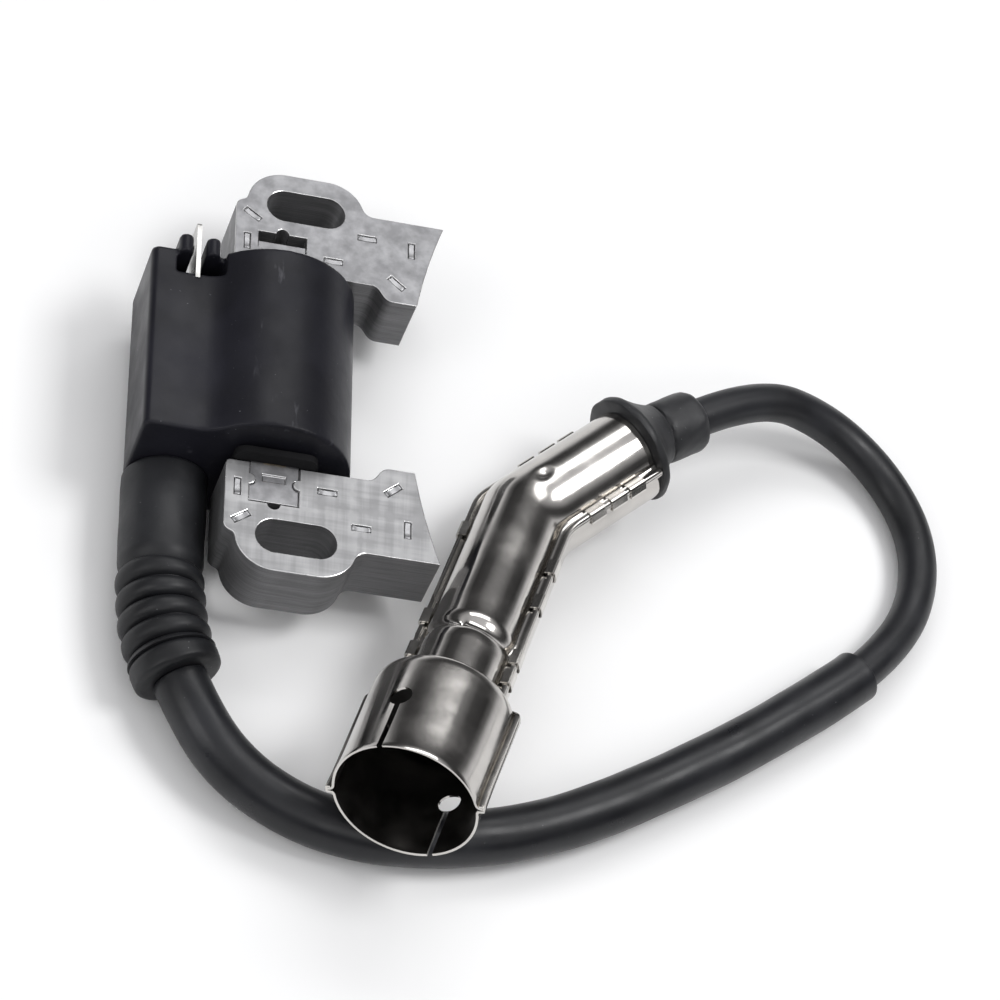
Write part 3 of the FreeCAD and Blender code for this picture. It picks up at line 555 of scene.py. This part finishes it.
BELL_WALL = [
    (0.0, 12.5), (0.25, 12.55), (1.0, 12.5), (3.0, 12.42), (6.0, 12.4), (9.0, 12.42), (12.0, 12.45),
    (15.0, 12.48), (18.0, 12.5), (20.5, 12.52), (21.6, 12.5),
]
BELL_SHOULDER = [
    (22.1, 12.3), (22.45, 11.8), (22.6, 11.0), (22.75, 10.0), (22.95, 9.0), (23.3, 8.3),
    (23.9, 7.9), (24.8, 7.72),
]
CRIMP_GROOVE = [
    (34.0, 7.72), (34.6, 7.62), (35.0, 7.45), (35.4, 7.28), (36.0, 7.24), (36.6, 7.38),
    (37.3, 7.62), (38.0, 7.8), (38.8, 7.78), (40.5, NECK),
]
# distance from the bell's mouth and radius, in millimetres
BELL_PROFILE = BELL_WALL + BELL_SHOULDER
BELL_PROFILE += [(s, NECK) for s in spaced(26.5, 32.5, 2.0)] + CRIMP_GROOVE
BELL_PROFILE += [(s, NECK) for s in spaced(43.0, 61.0, 3.0)] + [(63.0, NECK)]
ELBOW_ROUNDING = 2.4                # from the mitre to each end of the elbow's curve


def half_section(upper, radius):
    """Right half of a shield half's section, from its middle line to the seam's rim."""
    share = min(max((radius - NECK) / (BELL_RADIUS - NECK), 0.0), 1.0)
    points = []
    if upper:
        reach = HEM_REACH - 0.55 + share * (BELL_RADIUS + 0.75 - HEM_REACH + 0.55)
        seam = 0.72
        stop = math.asin((seam + 0.75) / radius)
        for k in range(33):
            angle = math.pi / 2 + (stop - math.pi / 2) * k / 32
            points.append((radius * math.cos(angle), radius * math.sin(angle)))
        start = Vector(points[-1])
        corner = Vector((radius + 0.02, seam))
        finish = Vector((min(radius + 0.75, reach - 0.15), seam))
        for k in range(1, 6):
            t = k / 5
            points.append(tuple(start * (1 - t) ** 2 + corner * 2 * t * (1 - t) + finish * t * t))
        points.append((reach, seam))
        return points
    wide = LOWER_WIDE + share * (BELL_RADIUS - LOWER_WIDE) + (radius - NECK) * (share < 0.01)
    deep = LOWER_DEEP + share * (BELL_RADIUS - LOWER_DEEP) + (radius - NECK) * (share < 0.01)
    reach = HEM_REACH + share * (BELL_RADIUS + 1.15 - HEM_REACH)
    stop = math.radians(3.0)
    boxy = 2 / (2.9 - 0.9 * share)
    for k in range(33):
        angle = math.pi / 2 + (stop - math.pi / 2) * k / 32
        points.append((wide * max(math.cos(angle), 0.0) ** boxy, -deep * math.sin(angle) ** boxy))
    points += [(wide + 0.15, -0.38), (reach - 0.15, -0.3), (reach, -0.12), (reach + 0.04, 0.35),
               (reach, 0.85), (reach - 0.12, 1.1), (reach - 0.4, 1.2), (reach - 0.9, 1.2)]
    return points


def section(upper, radius):
    right = half_section(upper, radius)
    left = [(-y, z) for y, z in reversed(right[1:])]
    return left + right


def dent(point, middle, size, depth):
    """Push a point in along the cap's Z near a spot."""
    away = (point - middle).length / size
    return point - Vector((0.0, 0.0, depth)) * math.exp(-away * away)


DENT_LEAN = math.radians(8)
ELBOW_DENT = WAY * 4.7 + LATERAL * (NECK * math.sin(DENT_LEAN))
ELBOW_DENT += Vector((0.0, 0.0, NECK * math.cos(DENT_LEAN)))
ELBOW_DENT_SIZE = (1.15, 0.55)      # radius and depth
CRIMP_DENT = Vector((ARM - 35.6, 0.2, 7.15))
CRIMP_DENT_SIZE = (0.5, 0.45)


def shell_points(upper):
    """Grid of points: one row per station from the bell's mouth to the lead's end."""
    rows = []
    for s, radius in BELL_PROFILE:
        rows.append([Vector((ARM - s, y, z)) for y, z in section(upper, radius)])
    plain = section(upper, NECK)
    last = ARM - BELL_PROFILE[-1][0]
    for k in range(1, 5):
        share = k / 4
        rows.append([Vector((last + (MITRE * y + ELBOW_ROUNDING - last) * share, y, z))
                     for y, z in plain])
    for k in range(1, 12):
        t = k / 12
        row = []
        for y, z in plain:
            first = Vector((MITRE * y + ELBOW_ROUNDING, y, z))
            corner = Vector((MITRE * y, y, z))
            second = WAY * (MITRE * y + ELBOW_ROUNDING) + LATERAL * y + Vector((0.0, 0.0, z))
            row.append(first * (1 - t) ** 2 + corner * 2 * t * (1 - t) + second * t * t)
        rows.append(row)
    for k in range(0, 25):
        share = k / 24
        row = []
        for y, z in plain:
            start = MITRE * y + ELBOW_ROUNDING
            row.append(WAY * (start + (UPPER - start) * share) + LATERAL * y
                       + Vector((0.0, 0.0, z)))
        rows.append(row)
    if upper:
        rows = [[dent(dent(p, ELBOW_DENT, *ELBOW_DENT_SIZE), CRIMP_DENT, *CRIMP_DENT_SIZE)
                 for p in row] for row in rows]
    return rows


def grid_faces(rows, columns, flip):
    """Quads over a grid of points stored row by row."""
    faces = []
    for i in range(rows - 1):
        for j in range(columns - 1):
            a = i * columns + j
            quad = (a, a + 1, a + columns + 1, a + columns)
            faces.append(quad[::-1] if flip else quad)
    return faces


KEYHOLE_RADIUS = 2.0
KEYHOLE_AT = 12.0                   # from the bell's mouth
KEYHOLE_TURN = math.radians(14.0)   # from upright, round the bell
SLIT_HALF = 0.5
PAST_MOUTH = 2.0
PAST_BELL = 20.0


def keyhole_cutter():
    """Round hole and slit down to the mouth, right through the bell."""
    mesh = bmesh.new()
    outline = []
    centre = ARM - KEYHOLE_AT
    opening = math.asin(SLIT_HALF / KEYHOLE_RADIUS)
    for k in range(33):
        angle = opening + (2 * math.pi - 2 * opening) * k / 32
        outline.append((centre + KEYHOLE_RADIUS * math.cos(angle),
                        KEYHOLE_RADIUS * math.sin(angle)))
    outline += [(ARM + PAST_MOUTH, -SLIT_HALF), (ARM + PAST_MOUTH, SLIT_HALF)]
    rings = []
    for depth in (-PAST_BELL, PAST_BELL):
        ring = []
        for x, y in outline:
            across = y * math.cos(KEYHOLE_TURN) - depth * math.sin(KEYHOLE_TURN)
            up = y * math.sin(KEYHOLE_TURN) + depth * math.cos(KEYHOLE_TURN)
            ring.append(mesh.verts.new(out((x, across, up))))
        rings.append(ring)
    count = len(outline)
    mesh.faces.new(rings[0][::-1])
    mesh.faces.new(rings[1])
    for k in range(count):
        j = (k + 1) % count
        mesh.faces.new((rings[0][k], rings[0][j], rings[1][j], rings[1][k]))
    bmesh.ops.recalc_face_normals(mesh, faces=mesh.faces[:])
    data = bpy.data.meshes.new("keyhole_cutter")
    mesh.to_mesh(data)
    mesh.free()
    cutter = bpy.data.objects.new("keyhole_cutter", data)
    bpy.context.scene.collection.objects.link(cutter)
    return cutter


TAB_LENGTH = 3.4
TAB_SHEET = 0.3


def tab_strips(upper_arm, spots):
    """Folded lugs of the lower half that grip the upper half's flange."""
    outline = [(HEM_REACH - 0.5, -0.95), (HEM_REACH + 0.22, -0.8), (HEM_REACH + 0.34, -0.3),
               (HEM_REACH + 0.34, 1.1), (HEM_REACH + 0.2, 1.42), (HEM_REACH - 0.15, 1.55),
               (HEM_REACH - 1.5, 1.5), (HEM_REACH - 1.55, 1.3)]
    points, faces = [], []
    for distance, side in spots:
        base = len(points)
        for step in range(4):
            along = distance - TAB_LENGTH / 2 + TAB_LENGTH * step / 3
            for y, z in outline:
                if upper_arm:
                    point = WAY * along + LATERAL * (y * side) + Vector((0.0, 0.0, z))
                else:
                    point = Vector((along, y * side, z))
                points.append(out(point))
        size = len(outline)
        for face in grid_faces(4, size, (side < 0) != upper_arm):
            faces.append(tuple(base + index for index in face))
    return points, faces


def build_shell(upper):
    rows = shell_points(upper)
    columns = len(rows[0])
    points = [out(point) for row in rows for point in row]
    faces = grid_faces(len(rows), columns, not upper)
    name = "shield_upper_skin" if upper else "shield_lower_skin"
    shell = add_mesh(name, points, faces, "shield_steel", "plug_cap", PAINTS["shield_steel"], HEM_PAINTED_HIGHLIGHT,
                     INSIDE_PAINTED_SHADE)
    bulk = shell.modifiers.new("thickness", "SOLIDIFY")
    bulk.thickness = SHEET * MM
    bulk.offset = -1.0
    bulk.use_even_offset = True
    # the rims take the brighter nickel, painted highlight
    bulk.material_offset_rim = 1
    # the inner faces take the darkened nickel, painted shade
    bulk.material_offset = 2
    cut = shell.modifiers.new("keyholes", "BOOLEAN")
    cut.operation = "DIFFERENCE"
    cut.solver = "EXACT"
    cut.object = cutter
    baked(shell)
    shade(shell)
    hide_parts("shield_upper_half" if upper else "shield_lower_half")
    return shell


cutter = keyhole_cutter()
shell_upper = build_shell(True)
shell_lower = build_shell(False)
bpy.data.objects.remove(cutter)

# distance from the elbow, and side of the arm
ARM_TABS = ((13.5, 1), (22.5, 1), (36.5, 1), (41.4, 1), (6.5, -1), (29.3, -1), (37.6, -1))
END_TABS = ((8.9, 1), (13.8, 1), (18.2, 1), (8.9, -1), (13.8, -1), (18.2, -1))


def build_tabs(name, upper_arm, spots):
    points, faces = tab_strips(upper_arm, spots)
    # the tabs wear the brighter nickel, painted highlight
    tabs = add_mesh(name, points, faces, "shield_steel", "plug_cap", HEM_PAINTED_HIGHLIGHT, smooth=False)
    bulk = tabs.modifiers.new("thickness", "SOLIDIFY")
    bulk.thickness = TAB_SHEET * MM
    bulk.offset = -1.0
    baked(tabs)
    return tabs


arm_tabs = build_tabs("shield_tabs_lower_arm", False, ARM_TABS)
end_tabs = build_tabs("shield_tabs_upper_arm", True, END_TABS)


# ---------------------------------------------------------------- grommet
COLLAR_KNEE = Vector((63.25, -0.143, 15.364)) * MM
COLLAR_WAY = Vector((0.830028, 0.556911, -0.030066))
COLLAR_LENGTH = 12.05


def build_grommet():
    """Rubber bung: ragged skirt over the shield's end, flare, waist and turned collar."""
    start = out(WAY * (UPPER - 0.3))
    toward = (COLLAR_KNEE - start).normalized()
    before = COLLAR_KNEE - toward * 2.4 * MM
    after = COLLAR_KNEE + COLLAR_WAY * 2.4 * MM
    line = [start, before]
    for k in range(1, 9):
        t = k / 9
        line.append(before * (1 - t) ** 2 + COLLAR_KNEE * 2 * t * (1 - t) + after * t * t)
    line += [after, COLLAR_KNEE + COLLAR_WAY * COLLAR_LENGTH * MM]
    path = Path(line, CAP_Z)
    end = path.lengths[-1] / MM
    outside = [(0.0, 6.4), (0.4, 6.6), (0.45, 9.9), (0.65, 10.2), (1.0, 10.3), (1.5, 10.3),
               (1.9, 10.15), (2.15, 9.8), (2.5, 9.3), (3.0, 8.7), (3.6, 8.05), (4.3, 7.4),
               (5.0, 6.85), (5.7, 6.4), (6.4, 6.05), (7.0, 5.85), (7.25, 5.5), (7.4, 5.25),
               (7.55, 5.3), (7.75, 5.6), (8.2, 5.75), (9.0, 5.8)]
    outside += [(s, 5.8) for s in spaced(9.8, end - 1.4, 0.8)]
    outside += [(end - 0.9, 5.74), (end - 0.4, 5.5), (end - 0.12, 5.15), (end, 4.8)]
    inside = [(s, LEAD_BORE) for s in [end] + spaced(end - 1.0, 1.0, 1.0) + [0.0]]
    rag = ripple(2.1, (0.09, 0.05, 3), (0.07, 0.12, 7), (0.05, 0.2, 13))

    def wobble(s, r, angle):
        return (rag(s, r, angle) - 0.2) * (0.4 if r < 9.5 else 1.0) * (r > 4.5)
    points, faces = swept(path, outside + inside, 108, wobble)
    piece = add_mesh("cap_grommet_skin", points, faces, "boot_rubber", "plug_cap", LINTY_RUBBER)
    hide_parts("cap_grommet")
    return piece


grommet = build_grommet()


# ---------------------------------------------------------------- core
SHEET_PITCH = 0.5
CORE_TOP = 20.0
CORE_BOTTOM = 7.5
BURR_WIDTH = 0.13
SCORE_DEPTH = 0.03
SCORE_HALF = 0.055                  # half the height of the score between two sheets


def solid_copy(node, name):
    """A welded copy of a CAD node's mesh, flat faces merged."""
    mesh = bmesh.new()
    mesh.from_mesh(nodes[node].data)
    bmesh.ops.remove_doubles(mesh, verts=mesh.verts[:], dist=2e-6)
    bmesh.ops.dissolve_limit(mesh, angle_limit=math.radians(1.0), use_dissolve_boundaries=False,
                             verts=mesh.verts[:], edges=mesh.edges[:])
    data = bpy.data.meshes.new(name)
    mesh.to_mesh(data)
    mesh.free()
    piece = bpy.data.objects.new(name, data)
    bpy.context.scene.collection.objects.link(piece)
    return piece


def laminate(piece, top, bottom):
    """Score the walls between the sheets, as geometry."""
    mesh = bmesh.new()
    mesh.from_mesh(piece.data)
    level = bottom + SHEET_PITCH
    while level < top - SHEET_PITCH / 2:
        for shift in (-SCORE_HALF, 0.0, SCORE_HALF):
            bmesh.ops.bisect_plane(mesh, geom=mesh.verts[:] + mesh.edges[:] + mesh.faces[:],
                                   plane_co=(0.0, 0.0, (level + shift) * MM),
                                   plane_no=(0.0, 0.0, 1.0), dist=1e-7)
        level += SHEET_PITCH
    mesh.normal_update()
    moves = []
    for vertex in mesh.verts:
        step = (vertex.co.z / MM - bottom) / SHEET_PITCH
        if abs(step - round(step)) * SHEET_PITCH > 0.01:
            continue
        if not bottom + 0.1 < vertex.co.z / MM < top - 0.1:
            continue
        walls = [face.normal for face in vertex.link_faces if abs(face.normal.z) < 0.1]
        if walls and len(walls) == len(vertex.link_faces):
            normal = sum(walls, Vector()).normalized()
            moves.append((vertex, normal))
    for vertex, normal in moves:
        vertex.co -= normal * SCORE_DEPTH * MM
    mesh.to_mesh(piece.data)
    mesh.free()


def build_core(node, name, paint, top):
    piece = solid_copy(node, name)
    dress(piece, "core_steel", "root", [paint, BURR_PAINTED_HIGHLIGHT], smooth=False)
    edge = piece.modifiers.new("burr", "BEVEL")
    edge.width = BURR_WIDTH * MM
    edge.segments = 2
    edge.limit_method = "ANGLE"
    edge.angle_limit = math.radians(50)
    edge.use_clamp_overlap = False
    # the bevel faces take the pale metal, a painted highlight along the sheared edges
    edge.material = 1
    baked(piece)
    laminate(piece, top, CORE_BOTTOM)
    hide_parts(node)
    return piece


build_core("tab_side_leg", "tab_side_leg_stack", FAR_STEEL, CORE_TOP)
build_core("lead_side_leg", "lead_side_leg_stack", PAINTS["core_steel"], CORE_TOP)
build_core("core_bar", "core_bar_stack", FAR_STEEL, CORE_TOP - SHEET_PITCH)

STRIP_SHEET = 0.07
# place and turn of each dimple, on the leg at the tab side; the other leg mirrors them
DIMPLES = ((-10.5, 26.1, 90), (-9.7, 32.1, -35), (5.2, 24.6, 0),
           (11.3, 30.9, 0), (19.5, 29.8, 90), (16.8, 22.1, -40))


def build_strips(name, side, sunk):
    """Lanced interlock strips that dip into each dimple of a leg."""
    outline = [(-1.68, -0.03), (-1.25, -0.12), (-0.8, -sunk), (-0.3, -sunk - 0.03),
               (0.3, -sunk - 0.03), (0.8, -sunk), (1.25, -0.12), (1.68, -0.03)]
    points, faces = [], []
    for x, y, turn in DIMPLES:
        angle = math.radians(turn) * side
        way = Vector((math.cos(angle), math.sin(angle), 0.0))
        across = Vector((-way.y, way.x, 0.0))
        middle = Vector((x, y * side, CORE_TOP))
        base = len(points)
        for a, z in outline:
            for b in (-0.48, -0.42, 0.42, 0.48):
                drop = z - (0.07 if abs(b) > 0.45 else 0.0)
                points.append((middle + way * a + across * b + Vector((0, 0, drop))) * MM)
        for face in grid_faces(len(outline), 4, True):
            faces.append(tuple(base + index for index in face))
    # the strips wear the paler steel, painted highlight
    strips = add_mesh(name, points, faces, "core_steel", "root", STRIP_PAINTED_HIGHLIGHT)
    bulk = strips.modifiers.new("thickness", "SOLIDIFY")
    bulk.thickness = STRIP_SHEET * MM
    bulk.offset = -1.0
    baked(strips)
    return strips


build_strips("tab_side_interlocks", 1, 0.22)
build_strips("lead_side_interlocks", -1, 0.30)


# ---------------------------------------------------------------- case
def build_case():
    """The moulded case, its corners softened as moulding leaves them."""
    piece = solid_copy("case", "case_moulding")
    dress(piece, "case_plastic", "root", [])
    grid = piece.modifiers.new("grid", "REMESH")
    grid.mode = "VOXEL"
    grid.voxel_size = 0.26 * MM
    soft = piece.modifiers.new("soft", "SMOOTH")
    soft.factor = 0.5
    soft.iterations = 8
    baked(piece)
    wear(piece, PAINTS["case_plastic"])
    shade(piece)
    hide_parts("case")
    return piece


build_case()


# ---------------------------------------------------------------- CAD nodes that stay
NODE_SLOTS = {
    "potting_resin": "resin", "primary_bobbin": "bobbin_plastic", "primary_winding": "copper",
    "secondary_spool": "bobbin_plastic", "secondary_winding": "copper", "control_board": "board",
    "power_transistor": "component_plastic", "board_parts": "component_plastic",
    "earth_clip": "brass", "kill_tab": "tinned_brass", "output_pin": "brass",
    "coil_end_wire": "copper", "coil_end_jacket": "jacket", "cap_insulator": "insulator",
    "cap_resistor": "ceramic", "contact_spring": "spring_steel", "plug_clip": "brass",
    "plug_seal": "boot_rubber", "lead_screw": "brass", "cap_end_wire": "copper",
    "cap_end_jacket": "jacket",
}
for node, slot in NODE_SLOTS.items():
    wear(nodes[node], PAINTS[slot])

# ---------------------------------------------------------------- cord
wear(lead, PAINTS["jacket"])
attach(lead, "root")
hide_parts("lead_jacket", "lead_wire")
on_lead = [boot, sleeve, grommet, shell_upper, shell_lower, arm_tabs, end_tabs]
on_lead += [nodes[name] for name in (
    "cap_insulator", "cap_resistor", "contact_spring", "plug_clip", "plug_seal", "lead_screw",
    "cap_end_wire", "cap_end_jacket", "coil_end_jacket", "coil_end_wire")]


# ---------------------------------------------------------------- studio
FOCUS = Vector((0.045, -0.03, 0.01))


def add_floor():
    mesh = bpy.data.meshes.new("floor")
    size = 3.0
    mesh.from_pydata([(-size, -size, 0), (size, -size, 0), (size, size, 0), (-size, size, 0)],
                     [], [(0, 1, 2, 3)])
    floor = bpy.data.objects.new("floor", mesh)
    floor.location.z = -0.0001
    bpy.context.scene.collection.objects.link(floor)
    paint = Paint("floor_paint", (0.965, 0.965, 0.965), 0.8)
    paint.set("Specular IOR Level", 0.1)
    floor.data.materials.append(paint.material)


def add_light(name, way, distance, size, power):
    data = bpy.data.lights.new(name, "AREA")
    data.shape = "RECTANGLE"
    data.size, data.size_y = size
    data.energy = power
    light = bpy.data.objects.new(name, data)
    way = Vector(way).normalized()
    light.location = FOCUS + way * distance
    light.rotation_mode = "QUATERNION"
    light.rotation_quaternion = way.to_track_quat("Z", "Y")
    bpy.context.scene.collection.objects.link(light)


def add_world():
    world = bpy.data.worlds.new("studio")
    bpy.context.scene.world = world
    world.use_nodes = True
    tree = world.node_tree
    background = tree.nodes["Background"]
    background.inputs["Strength"].default_value = 0.95
    place = tree.nodes.new("ShaderNodeTexCoord")
    split = tree.nodes.new("ShaderNodeSeparateXYZ")
    ramp = tree.nodes.new("ShaderNodeValToRGB")
    tree.links.new(place.outputs["Generated"], split.inputs["Vector"])
    tree.links.new(split.outputs["Z"], ramp.inputs["Fac"])
    tree.links.new(ramp.outputs["Color"], background.inputs["Color"])
    stops = [(0.0, 1.0), (0.08, 0.75), (0.18, 0.2), (0.3, 0.05), (0.5, 0.08), (0.72, 0.55),
             (1.0, 0.85)]
    elements = ramp.color_ramp.elements
    elements[0].position, elements[1].position = stops[0][0], stops[-1][0]
    for position, _ in stops[1:-1]:
        elements.new(position)
    for element, (_, grey) in zip(elements, stops):
        element.color = (grey, grey, grey * 1.02, 1.0)


add_floor()
add_world()
add_light("overhead_right", (0.46, 0.02, 0.89), 1.1, (0.42, 0.36), 4.5)
add_light("rear", (0.10, 0.72, 0.95), 1.3, (1.0, 0.35), 3.6)
add_light("left", (-1.0, -0.35, 0.75), 1.2, (0.5, 0.9), 3.0)
add_light("front", (0.15, -1.0, 0.95), 1.4, (1.1, 0.5), 2.4)
bpy.context.scene.view_settings.view_transform = "Standard"
